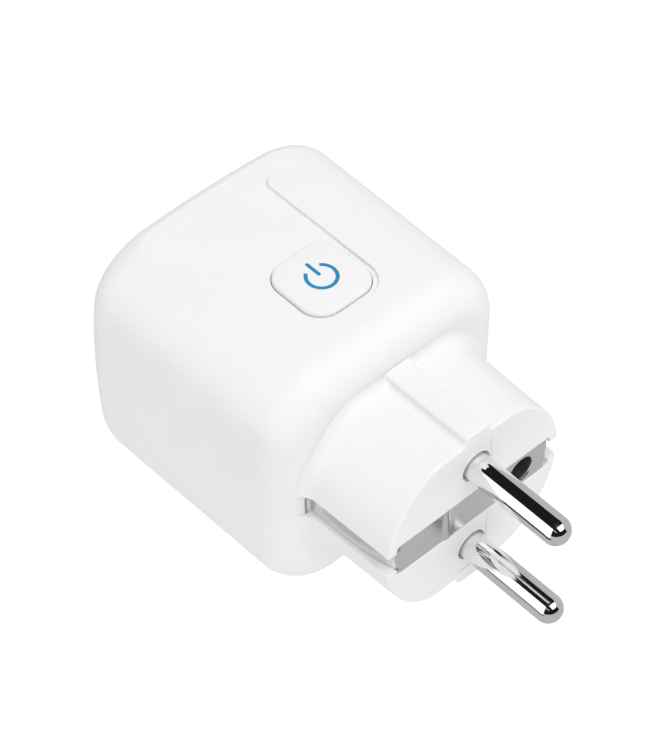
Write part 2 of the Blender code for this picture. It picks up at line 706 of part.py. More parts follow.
def build_radio(seat, materials):
    """The radio module, standing on edge beside the sockets, and its shielding can."""
    front = BOARD_FRONT_Y - CLEARANCE
    outline = [(front - 0.0120, 0.0010), (front, 0.0010), (front, 0.0165), (front - 0.0120, 0.0165)]
    make_part("radio_board", prism(outline, "X", -0.0199, -0.0191), materials["board"], seat)
    can = soft_box((-0.0188, front - 0.0108, 0.0025), (-0.0166, front - 0.0020, 0.0130), 0.0003)
    make_part("radio_shield", can, materials["steel"], seat)


def build_button_board(seat, switch_axis, materials):
    """The small board under the button with its switch, its lamp and the header behind it."""
    top = BUTTON_BOARD_TOP
    low_y = BUTTON_Y - 0.0077
    high_y = BOARD_FRONT_Y - 0.0004
    board = box((-0.0068, low_y, top - 0.0012), (0.0068, high_y, top))
    make_part("button_board", board, materials["board"], seat)

    base = top + CLEARANCE
    body_top = base + 0.0032
    body = soft_box((-0.0030, BUTTON_Y - 0.0030, base), (0.0030, BUTTON_Y + 0.0030, body_top), 0.0003)
    body = make_part("switch_body", body, materials["chip"], seat)
    cut(body, rod("Z", (0.0, BUTTON_Y), 0.0021, base + 0.0010, body_top + 0.001, 16))
    plunger = rod("Z", (0.0, BUTTON_Y), 0.0017, base + 0.0010 + BUTTON_TRAVEL + 0.0003, SWITCH_TOP, 14)
    make_part("switch_plunger", plunger, materials["plunger"], switch_axis)

    lamp = soft_box((0.0040, BUTTON_Y - 0.0008, base), (0.0056, BUTTON_Y + 0.0008, base + 0.0008), 0.0001)
    make_part("status_lamp", lamp, materials["lamp"], seat)
    header = soft_box((-0.0038, high_y - 0.0024, base), (0.0038, high_y, base + 0.0025), 0.0002)
    make_part("board_header", header, materials["chip"], seat)


def build_screw(name, place, profile, slot_y, seat, material):
    """A screw with a cross recess; the profile runs along Y from its head to its point."""
    screw = make_part(name, turned("Y", place, profile, 16), material, seat)
    x, z = place
    reach = profile[0][0] * 0.62
    for half_x, half_z in ((reach, 0.0003), (0.0003, reach)):
        cut(screw, box((x - half_x, slot_y - 0.002, z - half_z), (x + half_x, slot_y, z + half_z)))


def build_screws(seat, material):
    """The long screw through the well's floor and the four that hold the plug's moulding."""
    head = WELL_FLOOR_Y + 0.0001
    profile = [(0.0026, head), (0.0026, head + 0.0002), (0.0012, head + 0.0015),
               (0.0012, -0.0305), (0.0004, -0.0292)]
    build_screw("panel_screw", (0.0, 0.0), profile, head + 0.0008, seat, material)

    flange_front = BOSS_END_Y - CLEARANCE - 0.0015
    under = flange_front - CLEARANCE
    profile = [(0.0016, under - 0.0012), (0.0019, under - 0.0008), (0.0019, under),
               (0.0010, under), (0.0010, -0.0206), (0.0004, -0.0199)]
    for number, place in enumerate(boss_places(), start=1):
        build_screw(f"base_screw_{number}", place, profile, under - 0.0005, seat, material)


def main():
    """Build the power meter."""
    clear_scene()
    plastic = make_material("white_plastic", (0.86, 0.86, 0.86), 0.32)
    plating = make_material("nickel_plating", (0.78, 0.76, 0.74), 0.12, 1.0)
    steel = make_material("plated_steel", (0.62, 0.61, 0.60), 0.30, 1.0)
    brass = make_material("brass", (0.80, 0.62, 0.33), 0.30, 1.0)
    icon = make_material("blue_icon", (0.01, 0.28, 0.60), 0.35)
    shutter = make_material("shutter_plastic", (0.70, 0.70, 0.70), 0.45)
    materials = {
        "board": make_material("board_green", (0.03, 0.16, 0.07), 0.45),
        "relay_case": make_material("relay_blue", (0.03, 0.13, 0.38), 0.40),
        "film_case": make_material("film_yellow", (0.72, 0.50, 0.06), 0.40),
        "chip": make_material("chip_black", (0.02, 0.02, 0.02), 0.50),
        "can": make_material("can_sleeve", (0.02, 0.02, 0.03), 0.35),
        "ferrite": make_material("ferrite", (0.06, 0.06, 0.06), 0.70),
        "varistor": make_material("varistor_blue", (0.03, 0.16, 0.45), 0.45),
        "resistor": make_material("resistor_coat", (0.16, 0.30, 0.24), 0.50),
        "manganin": make_material("manganin", (0.62, 0.42, 0.30), 0.35, 1.0),
        "plunger": make_material("plunger_plastic", (0.55, 0.05, 0.04), 0.45),
        "lamp": make_material("lamp_resin", (0.80, 0.82, 0.78), 0.25),
        "brass": brass,
        "steel": steel,
    }
    seat = make_empty("plug_seat", (0.0, SEAT_Y, SEAT_Z))
    button_axis = make_empty("button_axis", (0.0, 0.0, 0.0), seat)
    switch_axis = make_empty("switch_axis", (0.0, 0.0, 0.0), seat)
    shutter_axis = make_empty("shutter_axis", (0.0, 0.0, 0.0), seat)

    build_housing_shell(seat, plastic)
    build_plug_base(seat, plastic)
    build_socket_panel(seat, plastic)
    build_button(button_axis, plastic, icon)
    build_pin("live_pin", -1, seat, plating)
    build_pin("neutral_pin", 1, seat, plating)
    build_plug_earth_strip(seat, plating)
    build_earth_path(seat, brass, steel)
    build_contact("live_contact", -1, seat, brass)
    build_contact("neutral_contact", 1, seat, brass)
    build_shutter(shutter_axis, shutter, steel)
    build_main_board(seat, materials["board"])
    build_board_parts(seat, materials)
    build_radio(seat, materials)
    build_button_board(seat, switch_axis, materials)
    build_screws(seat, steel)


main()
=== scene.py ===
"""The looks of the plug-in power meter: fine surfaces, materials, light and camera.

Pieces are modelled in millimetres round the seat, the middle of the plug's end face: +Y runs along
the pins, -Y towards the socket and +Z up through the button. A finished piece goes into the row
frame, in metres.
"""
import json
from math import acos, asin, atan2, cos, hypot, pi, radians, sin, sqrt

import bmesh
import bpy
from mathutils import Matrix, Vector


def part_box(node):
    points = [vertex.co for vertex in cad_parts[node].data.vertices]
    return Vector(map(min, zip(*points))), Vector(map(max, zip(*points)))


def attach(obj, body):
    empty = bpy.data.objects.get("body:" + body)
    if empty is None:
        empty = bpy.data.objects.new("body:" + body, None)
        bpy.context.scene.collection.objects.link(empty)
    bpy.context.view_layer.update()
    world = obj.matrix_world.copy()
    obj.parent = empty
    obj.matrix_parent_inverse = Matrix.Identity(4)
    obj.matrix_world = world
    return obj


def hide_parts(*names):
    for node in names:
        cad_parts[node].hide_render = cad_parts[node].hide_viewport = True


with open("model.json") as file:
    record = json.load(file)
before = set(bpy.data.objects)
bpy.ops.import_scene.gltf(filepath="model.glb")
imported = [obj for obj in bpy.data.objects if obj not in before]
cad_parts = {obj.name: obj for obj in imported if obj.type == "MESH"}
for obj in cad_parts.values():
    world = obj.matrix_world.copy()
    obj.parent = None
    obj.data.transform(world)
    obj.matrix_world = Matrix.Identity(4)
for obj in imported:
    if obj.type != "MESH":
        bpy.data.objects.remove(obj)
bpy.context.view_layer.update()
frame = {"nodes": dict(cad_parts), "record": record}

MM = 0.001
SKIN = 0.08

# Measures that come from the frame

PIN_LENGTH = 19.0
live_low, live_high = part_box("live_pin")
neutral_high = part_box("neutral_pin")[1]
SEAT = Vector((
    (live_low.x + live_high.x) / 2,
    live_high.y - PIN_LENGTH * MM,
    (live_low.z + neutral_high.z) / 2,
))


def span(node):
    """A CAD node's lowest and highest corners, in millimetres from the seat."""
    low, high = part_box(node)
    return (low - SEAT) / MM, (high - SEAT) / MM


shell_high = span("housing_shell")[1]
cap_low, cap_high = span("button_cap")
clips_high = span("socket_earth_bracket")[1]
rotor_low, rotor_high = span("shutter_rotor")
screw_high = span("panel_screw")[1]

HALF_WIDTH = shell_high.x
HALF_HEIGHT = shell_high.z
BACK_Y = shell_high.y
PIN_RADIUS = (live_high.x - live_low.x) / 2 / MM
PIN_Z = (neutral_high.z - live_low.z) / 2 / MM - PIN_RADIUS
PIN_ROOT_Y = (live_low.y - SEAT.y) / MM
BUTTON_Y = (cap_low.y + cap_high.y) / 2

# Body
BODY_CORNER = 12.0
BODY_TAPER = 0.5
BODY_WALL = 1.8
BACK_FILLET = 6.0
FRONT_Y = -65.6
FRONT_FILLET = 5.0
FRONT_BOW_Z = 96.0
FRONT_BOW_X = 231.0
RIM_INSET = 2.3
PANEL_BACK_Y = -57.0
SEAM_LIP = 0.15
SEAM_GAP = 0.12
BOSS_PLACE = 16.0
BOSS_END_Y = -22.4
BOSS_RADIUS = 2.4
BOSS_BORE = 1.25

# Plug
PLUG_END_RADIUS = 18.2
PLUG_BASE_RADIUS = 18.7
PLUG_FLAT = 15.8
PLUG_CORNER = 6.0
PLUG_CORNER_REACH = radians(9)
PLUG_END_EDGE = 0.5
PLUG_SKIRT = 1.9
RIB_HALF_WIDTH = 2.5
RIB_TOP = 17.6
RIB_FOOT = 1.0
RIB_EDGE = 0.75
FACE_CHANNEL_HALF_WIDTH = 3.35
FACE_CHANNEL_REACH = 16.2
CHANNEL_HALF_WIDTH = 2.1
CHANNEL_EDGE = 0.22
CHANNEL_FLOOR_Y = -1.1
CHANNEL_FLOOR_X = 15.2
RECESS_DEPTH = 0.12
RECESS_HALF_WIDTH = 3.1
RECESS_END = 14.4
FLANGE_THICKNESS = 1.5
FLANGE_INSET = 3.1
POST_END_Y = -39.2
POST_RADIUS = 3.2
POST_BORE = 1.5
COLLAR_RADIUS = 3.1
EARTH_HOLE_X = -10.3
EARTH_HOLE_RADIUS = 2.4
STRIP_THICKNESS = 0.8
STRIP_HALF_WIDTH = 3.2
STRIP_SHOULDER_X = 15.3
STRIP_SIDE_HALF_WIDTH = 2.03
STRIP_SIDE_X = 15.8
STRIP_LEAN = 1.5
BEAD_X = 5.3
BEAD_WIDTH = 3.0
BEAD_HEIGHT = 0.28

# Socket
WELL_RADIUS = 19.7
WELL_WALL = 1.4
WELL_MOUTH = 0.7
WELL_FLOOR_Y = -45.0
WELL_FLOOR_THICKNESS = 2.0
WELL_FOOT = 0.5
GUIDE_LENGTH = 14.5
SOCKET_HOLE_RADIUS = 2.9

# Button and its lane
LANE_DEPTH = 0.7
LANE_HALF_WIDTH = 7.2
LANE_BACK_Y = -26.6
LANE_FRONT_Y = -56.0
LANE_CORNER = 4.6
LANE_MOUTH_CORNER = 2.0
LANE_FOOT = 0.10
LANE_RIM = 0.20
BUTTON_HALF = 6.6
BUTTON_CORNER = 4.0
ICON_RADIUS = 2.45
ICON_STROKE = 0.56
ICON_BAR = 3.2
ICON_GAP = radians(70)
ICON_CLEARANCE = 0.03
BUTTON_GAP = 0.12
CAP_EDGE = 0.6
SWITCH_TOP = 20.0

# Finish
BROAD_GRAIN = 160.0
WHITE_SPECULAR = 0.3

# Studio
WORLD_STRENGTH = 0.64
LIGHT_POWER = 7.4
FLOOR_GLOW = 0.74
CAMERA_AZIMUTH = 137.1
CAMERA_ELEVATION = 48.6
CAMERA_ROLL = 0.3
CAMERA_LENS = 147.3
CAMERA_PLACE = (217.1, 200.1, 363.9)


# Outlines: closed lists of (u, v) points

def arc(centre, radius, start, end, steps):
    """Points along an arc, both ends included."""
    points = []
    for step in range(steps + 1):
        angle = start + (end - start) * step / steps
        points.append((centre[0] + radius * cos(angle), centre[1] + radius * sin(angle)))
    return points


def swing(steps, end=pi / 2):
    """The sine and cosine of even steps from 0 to an angle."""
    for step in range(steps + 1):
        angle = end * step / steps
        yield sin(angle), cos(angle)


def circle(radius, steps=64, centre=(0.0, 0.0)):
    """A full circle."""
    return arc(centre, radius, 0.0, 2 * pi, steps)[:-1]


def rounded(corners, steps=8):
    """An anticlockwise polygon of corners (u, v, radius), each an arc unless its radius is 0."""
    points = []
    for index, (u, v, radius) in enumerate(corners):
        if radius == 0.0:
            points.append((u, v))
            continue
        here = Vector((u, v))
        to_before = (Vector(corners[index - 1][:2]) - here).normalized()
        to_after = (Vector(corners[(index + 1) % len(corners)][:2]) - here).normalized()
        half_angle = to_before.angle(to_after) / 2
        middle = here + (to_before + to_after).normalized() * radius / sin(half_angle)
        reach = radius * cos(half_angle) / sin(half_angle)
        first = here + to_before * reach - middle
        last = here + to_after * reach - middle
        start = atan2(first.y, first.x)
        sweep = (atan2(last.y, last.x) - start + pi) % (2 * pi) - pi
        points += arc(middle, radius, start, start + sweep, steps)
    return points


def grown(corners, amount):
    """The same anticlockwise polygon with every side moved out by an amount."""
    result = []
    for index, (u, v, radius) in enumerate(corners):
        here = Vector((u, v))
        into = (here - Vector(corners[index - 1][:2])).normalized()
        out = (Vector(corners[(index + 1) % len(corners)][:2]) - here).normalized()
        normal_in = Vector((into.y, -into.x))
        normal_out = Vector((out.y, -out.x))
        shift = (normal_in + normal_out) * (amount / (1 + normal_in.dot(normal_out)))
        convex = into.x * out.y - into.y * out.x > 0
        new_radius = max(radius + amount if convex else radius - amount, 0.02)
        result.append((u + shift.x, v + shift.y, new_radius if radius else 0.0))
    return result


def rectangle(half_u, half_v, radius, centre=(0.0, 0.0)):
    """The corners of a rounded rectangle."""
    u, v = centre
    return [
        (u + half_u, v - half_v, radius),
        (u + half_u, v + half_v, radius),
        (u - half_u, v + half_v, radius),
        (u - half_u, v - half_v, radius),
    ]


def ribbon(path, thickness):
    """The outline of a strip of even thickness that follows an open path."""
    left = []
    right = []
    for index, point in enumerate(path):
        before = Vector(path[max(index - 1, 0)])
        after = Vector(path[min(index + 1, len(path) - 1)])
        here = Vector(point)
        into = (here - before).normalized() if index > 0 else (after - here).normalized()
        out = (after - here).normalized() if index < len(path) - 1 else into
        tangent = (into + out).normalized()
        normal = Vector((-tangent.y, tangent.x))
        offset = normal * (thickness / 2 / max(normal.dot(Vector((-into.y, into.x))), 0.3))
        left.append(tuple(here + offset))
        right.append(tuple(here - offset))
    return left + right[::-1]


def bent(points, radius, steps=6):
    """An open path with its inner corners rounded."""
    path = [points[0]]
    for before, here, after in zip(points, points[1:], points[2:]):
        here = Vector(here)
        to_before = Vector(before) - here
        to_after = Vector(after) - here
        half_angle = to_before.angle(to_after) / 2
        reach = min(radius / sin(half_angle) * cos(half_angle),
                    to_before.length / 2, to_after.length / 2)
        start = here + to_before.normalized() * reach
        end = here + to_after.normalized() * reach
        for step in range(steps + 1):
            t = step / steps
            path.append(tuple(start * (1 - t) ** 2 + here * 2 * t * (1 - t) + end * t ** 2))
    path.append(points[-1])
    return path


# Solids: closed bmeshes

def loft(rings):
    """Join rings of equal length one after another, with a flat cap at each end."""
    shape = bmesh.new()
    rows = [[shape.verts.new(point) for point in ring] for ring in rings]
    count = len(rings[0])
    for low, high in zip(rows, rows[1:]):
        for index in range(count):
            following = (index + 1) % count
            shape.faces.new((low[index], low[following], high[following], high[index]))
    shape.faces.new(rows[0][::-1])
    shape.faces.new(rows[-1])
    return shape


def lift(point, axis, level):
    """Put an outline's point into space, on the plane where the axis has this level."""
    u, v = point
    if axis == "X":
        return (level, u, v)
    if axis == "Y":
        return (u, level, v)
    return (u, v, level)


def prism(outline, axis, low, high):
    """An outline drawn out along an axis."""
    return loft([[lift(point, axis, level) for point in outline] for level in (low, high)])


def moulded(corners, axis, profile, steps=8):
    """A polygon drawn through (grow, level) pairs, so that its edges can be rounded or flared."""
    rings = []
    for grow, level in profile:
        outline = rounded(grown(corners, grow), steps)
        rings.append([lift(point, axis, level) for point in outline])
    return loft(rings)


def turned(axis, centre, profile, steps=64):
    """A turned body: circles of (radius, level) along an axis."""
    rings = []
    for radius, level in profile:
        rings.append([lift(point, axis, level) for point in circle(radius, steps, centre)])
    return loft(rings)


def rod(axis, centre, radius, low, high, steps=48):
    """A round bar along an axis."""
    return turned(axis, centre, [(radius, low), (radius, high)], steps)


def box(low, high):
    """A plain block between two opposite corners, for cuts."""
    low, high = zip(*(sorted(pair) for pair in zip(low, high)))
    outline = [(low[0], low[1]), (high[0], low[1]), (high[0], high[1]), (low[0], high[1])]
    return prism(outline, "Z", low[2], high[2])


def sunk(floor, top, foot, rim, steps=6, beyond=3.0):
    """(grow, level) steps of a cutter with a round foot and a flared rim, from floor past top."""
    way = 1.0 if top > floor else -1.0
    profile = []
    for sine, cosine in swing(steps) if foot else [(0.0, 1.0)]:
        profile.append((foot * sine - foot, floor + way * foot * (1 - cosine)))
    for sine, cosine in swing(steps, radians(70.0)):
        profile.append((rim * (1 - cosine), top - way * rim * (1 - sine)))
    profile.append((rim, top + way * rim * 0.064))
    profile.append((rim, top + way * beyond))
    return profile


def crowned(low, high, low_edge, high_edge, steps=6):
    """(grow, level) steps of a block with round edges below and above."""
    profile = []
    for sine, cosine in swing(steps) if low_edge else [(0.0, 1.0)]:
        profile.append((low_edge * sine - low_edge, low + low_edge * (1 - cosine)))
    for sine, cosine in swing(steps) if high_edge else [(0.0, 1.0)]:
        profile.append((high_edge * cosine - high_edge, high - high_edge * (1 - sine)))
    return profile


def to_object(name, shape):
    """Turn a bmesh into an object that is still in millimetres."""
    bmesh.ops.recalc_face_normals(shape, faces=shape.faces)
    mesh = bpy.data.meshes.new(name)
    shape.to_mesh(mesh)
    shape.free()
    part = bpy.data.objects.new(name, mesh)
    bpy.context.collection.objects.link(part)
    return part


def apply_modifiers(part):
    """Replace an object's mesh with what its modifiers make of it."""
    bpy.context.view_layer.update()
    graph = bpy.context.evaluated_depsgraph_get()
    mesh = bpy.data.meshes.new_from_object(part.evaluated_get(graph))
    part.modifiers.clear()
    part.data = mesh


def combine(part, shape, operation):
    """Join a shape to a part or cut it away."""
    helper = to_object("helper", shape)
    boolean = part.modifiers.new("helper", "BOOLEAN")
    boolean.operation = operation
    boolean.solver = "EXACT"
    boolean.object = helper
    apply_modifiers(part)
    bpy.data.objects.remove(helper)


def cut(part, shape):
    """Take a shape away from a part."""
    combine(part, shape, "DIFFERENCE")


def weld(part, shape):
    """Add a shape to a part."""
    combine(part, shape, "UNION")


def soften(part, width, segments=3, angle=30.0):
    """Round a part's sharp edges."""
    bevel = part.modifiers.new("soften", "BEVEL")
    bevel.width = width
    bevel.segments = segments
    bevel.limit_method = "ANGLE"
    bevel.angle_limit = radians(angle)
    bevel.use_clamp_overlap = True
    apply_modifiers(part)


def finish_piece(part, material, slot, body, *nodes, sharp=28.0):
    """Shade a piece, put it into the row frame, let it ride and hide the CAD parts that it
    replaces.
    """
    place = Matrix.Translation(SEAT) @ Matrix.Scale(MM, 4)
    part.data.transform(place)
    part.data.shade_smooth()
    part.data.set_sharp_from_angle(angle=radians(sharp))
    weighted = part.modifiers.new("weighted_normals", "WEIGHTED_NORMAL")
    weighted.keep_sharp = True
    weighted.weight = 100
    apply_modifiers(part)
    part.data.materials.clear()
    part.data.materials.append(material)
    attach(part, body)
    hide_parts(*nodes)


# Materials

def noise(tree, coordinates, scale, detail=3.0, stretch=None):
    """A noise texture; scale is in bumps per metre, stretch draws it out along the axes."""
    source = coordinates
    if stretch:
        mapping = tree.nodes.new("ShaderNodeMapping")
        mapping.inputs["Scale"].default_value = stretch
        tree.links.new(coordinates, mapping.inputs["Vector"])
        source = mapping.outputs["Vector"]
    texture = tree.nodes.new("ShaderNodeTexNoise")
    texture.inputs["Scale"].default_value = scale
    texture.inputs["Detail"].default_value = detail
    tree.links.new(source, texture.inputs["Vector"])
    return texture.outputs["Fac"]


def remap(tree, value, low, high):
    """Turn a noise value into a range."""
    ramp = tree.nodes.new("ShaderNodeMapRange")
    ramp.inputs["From Min"].default_value = 0.3
    ramp.inputs["From Max"].default_value = 0.7
    ramp.inputs["To Min"].default_value = low
    ramp.inputs["To Max"].default_value = high
    tree.links.new(value, ramp.inputs["Value"])
    return ramp.outputs["Result"]


def tint(tree, value, first, second):
    """Mix two colours by a noise value."""
    ramp = tree.nodes.new("ShaderNodeValToRGB")
    ramp.color_ramp.elements[0].position = 0.3
    ramp.color_ramp.elements[0].color = (*first, 1.0)
    ramp.color_ramp.elements[1].position = 0.7
    ramp.color_ramp.elements[1].color = (*second, 1.0)
    tree.links.new(value, ramp.inputs["Fac"])
    return ramp.outputs["Color"]


def surface(name, first, second, roughness, metallic=0.0, grain=9000.0, bump=0.02,
            spread=0.04, stretch=None, depth=0.00002):
    """A material whose colour, roughness and relief vary finely over the surface."""
    material = bpy.data.materials.new(name)
    material.use_nodes = True
    tree = material.node_tree
    shader = tree.nodes["Principled BSDF"]
    coordinates = tree.nodes.new("ShaderNodeTexCoord").outputs["Object"]
    broad = noise(tree, coordinates, BROAD_GRAIN, 2.0)
    fine = noise(tree, coordinates, grain, 4.0, stretch)
    tree.links.new(tint(tree, broad, first, second), shader.inputs["Base Color"])
    uneven = remap(tree, fine, roughness - spread, roughness + spread)
    tree.links.new(uneven, shader.inputs["Roughness"])
    shader.inputs["Metallic"].default_value = metallic
    relief = tree.nodes.new("ShaderNodeBump")
    relief.inputs["Strength"].default_value = bump
    relief.inputs["Distance"].default_value = depth
    tree.links.new(fine, relief.inputs["Height"])
    tree.links.new(relief.outputs["Normal"], shader.inputs["Normal"])
    material.diffuse_color = (*first, 1.0)
    return material


def make_materials():
    """One material for each slot of the record."""
    made = {
        "white_plastic": surface("white_plastic", (0.87, 0.87, 0.87), (0.88, 0.88, 0.88), 0.46,
                                 grain=7000.0, bump=0.04, spread=0.03),
        "nickel_plating": surface("nickel_plating", (0.87, 0.87, 0.87), (0.89, 0.89, 0.89), 0.06,
                                  metallic=1.0, grain=2500.0, bump=0.01, spread=0.015,
                                  stretch=(1.0, 0.06, 1.0)),
        "rolled_nickel": surface("rolled_nickel", (0.80, 0.80, 0.80), (0.84, 0.84, 0.84), 0.24,
                                 metallic=1.0, grain=3000.0, bump=0.02, spread=0.03,
                                 stretch=(0.1, 1.0, 1.0)),
        "plated_steel": surface("plated_steel", (0.58, 0.57, 0.56), (0.68, 0.67, 0.65), 0.26,
                                metallic=1.0, grain=5000.0, bump=0.05, spread=0.06,
                                stretch=(1.0, 0.15, 1.0)),
        "brass": surface("brass", (0.76, 0.56, 0.27), (0.84, 0.66, 0.36), 0.28, metallic=1.0,
                         grain=5000.0, bump=0.05, spread=0.06),
        "blue_icon": surface("blue_icon", (0.010, 0.265, 0.550), (0.012, 0.280, 0.570), 0.30,
                             grain=8000.0, bump=0.02),
        "shutter_plastic": surface("shutter_plastic", (0.66, 0.66, 0.66), (0.70, 0.70, 0.70),
                                   0.42),
        "board_green": surface("board_green", (0.020, 0.140, 0.050), (0.030, 0.180, 0.070), 0.38,
                               grain=4000.0, bump=0.06),
        "relay_blue": surface("relay_blue", (0.025, 0.120, 0.360), (0.035, 0.140, 0.400), 0.36),
        "film_yellow": surface("film_yellow", (0.68, 0.46, 0.05), (0.76, 0.53, 0.08), 0.38),
        "chip_black": surface("chip_black", (0.016, 0.016, 0.017), (0.024, 0.024, 0.025), 0.52,
                              bump=0.08),
        "can_sleeve": surface("can_sleeve", (0.015, 0.016, 0.022), (0.022, 0.023, 0.030), 0.30),
        "ferrite": surface("ferrite", (0.045, 0.045, 0.046), (0.070, 0.070, 0.070), 0.70, bump=0.2),
        "varistor_blue": surface("varistor_blue", (0.025, 0.140, 0.420), (0.035, 0.170, 0.470),
                                 0.40, bump=0.12),
        "resistor_coat": surface("resistor_coat", (0.13, 0.26, 0.21), (0.18, 0.33, 0.26), 0.48),
        "manganin": surface("manganin", (0.58, 0.38, 0.27), (0.66, 0.46, 0.33), 0.34, metallic=1.0,
                            stretch=(0.1, 1.0, 1.0)),
        "plunger_plastic": surface("plunger_plastic", (0.50, 0.045, 0.035), (0.58, 0.055, 0.045),
                                   0.42),
        "lamp_resin": surface("lamp_resin", (0.76, 0.79, 0.74), (0.82, 0.84, 0.80), 0.22),
    }
    white = made["white_plastic"].node_tree.nodes["Principled BSDF"]
    white.inputs["Specular IOR Level"].default_value = WHITE_SPECULAR
    return made


# Body

def front_y(x, z):
    """The bowed front face's place at a point across it."""
    return FRONT_Y + x * x / (2 * FRONT_BOW_X) + z * z / (2 * FRONT_BOW_Z)


def fillet_drop(inset, fillet=FRONT_FILLET):
    """How far a rounded edge has fallen away at this distance in from the side."""
    if inset >= fillet:
        return 0.0
    return fillet - sqrt(fillet ** 2 - (fillet - inset) ** 2)


def side_distance(x, z):
    """How far a point of the body's section is from its outline."""
    corner_x = max(abs(x) - HALF_WIDTH + BODY_CORNER, 0.0)
    corner_z = max(abs(z) - HALF_HEIGHT + BODY_CORNER, 0.0)
    if corner_x and corner_z:
        return BODY_CORNER - hypot(corner_x, corner_z)
    return min(HALF_WIDTH - abs(x), HALF_HEIGHT - abs(z))


def face_y(x, z):
    """The front's surface, its rounded edge included."""
    return front_y(x, z) + fillet_drop(side_distance(x, z))


def back_y(x, z):
    """The back's surface, its rounded edge included."""
    widened = x / (1 - BODY_TAPER / HALF_WIDTH)
    return BACK_Y - fillet_drop(side_distance(widened, z), BACK_FILLET)


def body_outline(inset, corner_steps=20, side_steps=18):
    """The body's rounded square, moved in from its sides, with points along its sides too."""
    corner = max(BODY_CORNER - inset, 1.0)
    arcs = rounded(rectangle(HALF_WIDTH - inset, HALF_HEIGHT - inset, corner), corner_steps)
    points = []
    for quarter in range(4):
        points += arcs[quarter * (corner_steps + 1):(quarter + 1) * (corner_steps + 1)]
        start = Vector(points[-1])
        end = Vector(arcs[(quarter + 1) * (corner_steps + 1) % len(arcs)])
        for step in range(1, side_steps + 1):
            points.append(tuple(start.lerp(end, step / (side_steps + 1))))
    return points


def level_ring(inset, y, narrowing=0.0):
    """A ring round the body at one y; narrowing takes the two sides in further."""
    scale = 1 - narrowing / HALF_WIDTH
    return [(x * scale, y, z) for x, z in body_outline(inset)]


def front_ring(inset):
    """A ring on the bowed front and its rounded edge."""
    drop = fillet_drop(inset)
    return [(x, front_y(x, z) + drop, z) for x, z in body_outline(inset)]


def round_ring(radius, place):
    """A circle with its points beside those of the body's rings; place gives y from x and z."""
    ring = []
    for x, z in body_outline(0.0):
        scale = radius / hypot(x, z)
        ring.append((x * scale, place(x * scale, z * scale), z * scale))
    return ring


def boss_places():
    """The four corners where the plug's moulding is screwed to the shell."""
    return [(x, z) for x in (-BOSS_PLACE, BOSS_PLACE) for z in (-BOSS_PLACE, BOSS_PLACE)]


def lane_corners():
    """The sunk lane round the button, which widens to the whole top near the front."""
    far = 60.0
    return [
        (LANE_HALF_WIDTH, LANE_BACK_Y, LANE_CORNER),
        (-LANE_HALF_WIDTH, LANE_BACK_Y, LANE_CORNER),
        (-LANE_HALF_WIDTH, LANE_FRONT_Y, LANE_MOUTH_CORNER),
        (-far, LANE_FRONT_Y, 1.0),
        (-far, -2 * far, 1.0),
        (far, -2 * far, 1.0),
        (far, LANE_FRONT_Y, 1.0),
        (LANE_HALF_WIDTH, LANE_FRONT_Y, LANE_MOUTH_CORNER),
    ]


def plug_section(radius, grow=0.0, rib_grow=0.0, steps=24):
    """The plug's section, moved out by an amount: two arcs, two flats and a rib on each flat."""
    reach = radius + grow
    flat = PLUG_FLAT + grow
    rib = RIB_HALF_WIDTH + rib_grow
    top = max(RIB_TOP + rib_grow, flat + 0.15)
    end = asin(flat / reach)
    quarter = []
    for step in range(steps):
        angle = (end - PLUG_CORNER_REACH) * (step + 0.5) / (steps - 0.5)
        quarter.append((reach * cos(angle), reach * sin(angle), 0.0))
    quarter += [
        (reach * cos(end), flat, PLUG_CORNER),
        (rib, flat, min(RIB_FOOT, 0.55 * (top - flat))),
        (rib, top, min(RIB_EDGE, 0.40 * (top - flat))),
    ]
    upper = quarter + [(-x, z, corner) for x, z, corner in reversed(quarter)]
    return rounded(upper + [(-x, -z, corner) for x, z, corner in upper], 6)


def plug_radius(y):
    """The plug's radius, which shrinks a little from its base to its end."""
    return PLUG_END_RADIUS + (PLUG_BASE_RADIUS - PLUG_END_RADIUS) * y / BACK_Y


def plug_ring(y, grow=0.0):
    """A ring round the plug at one y."""
    return [(x, y, z) for x, z in plug_section(plug_radius(max(y, BACK_Y)), grow, grow)]


def skirt_ring(grow, rise, rib_grow=0.0):
    """A ring round the plug's base that follows the body's back."""
    return [(x, back_y(x, z) + rise, z) for x, z in plug_section(PLUG_BASE_RADIUS, grow, rib_grow)]


def side_channel(side):
    """The cutter for the channel down one side of the plug, flared at the surface."""
    rings = []
    for y in (BACK_Y + 0.1, 1.0):
        mouth = sqrt(plug_radius(y) ** 2 - CHANNEL_HALF_WIDTH ** 2)
        half = [(CHANNEL_FLOOR_X, CHANNEL_HALF_WIDTH)]
        for sine, cosine in swing(5, radians(75.0)):
            half.append((mouth - CHANNEL_EDGE * (1 - sine),
                         CHANNEL_HALF_WIDTH + CHANNEL_EDGE * (1 - cosine)))
        half.append((mouth + 4.0, CHANNEL_HALF_WIDTH + CHANNEL_EDGE))
        outline = half + [(x, -z) for x, z in reversed(half)]
        rings.append([(side * x, y, z) for x, z in outline])
    return loft(rings)


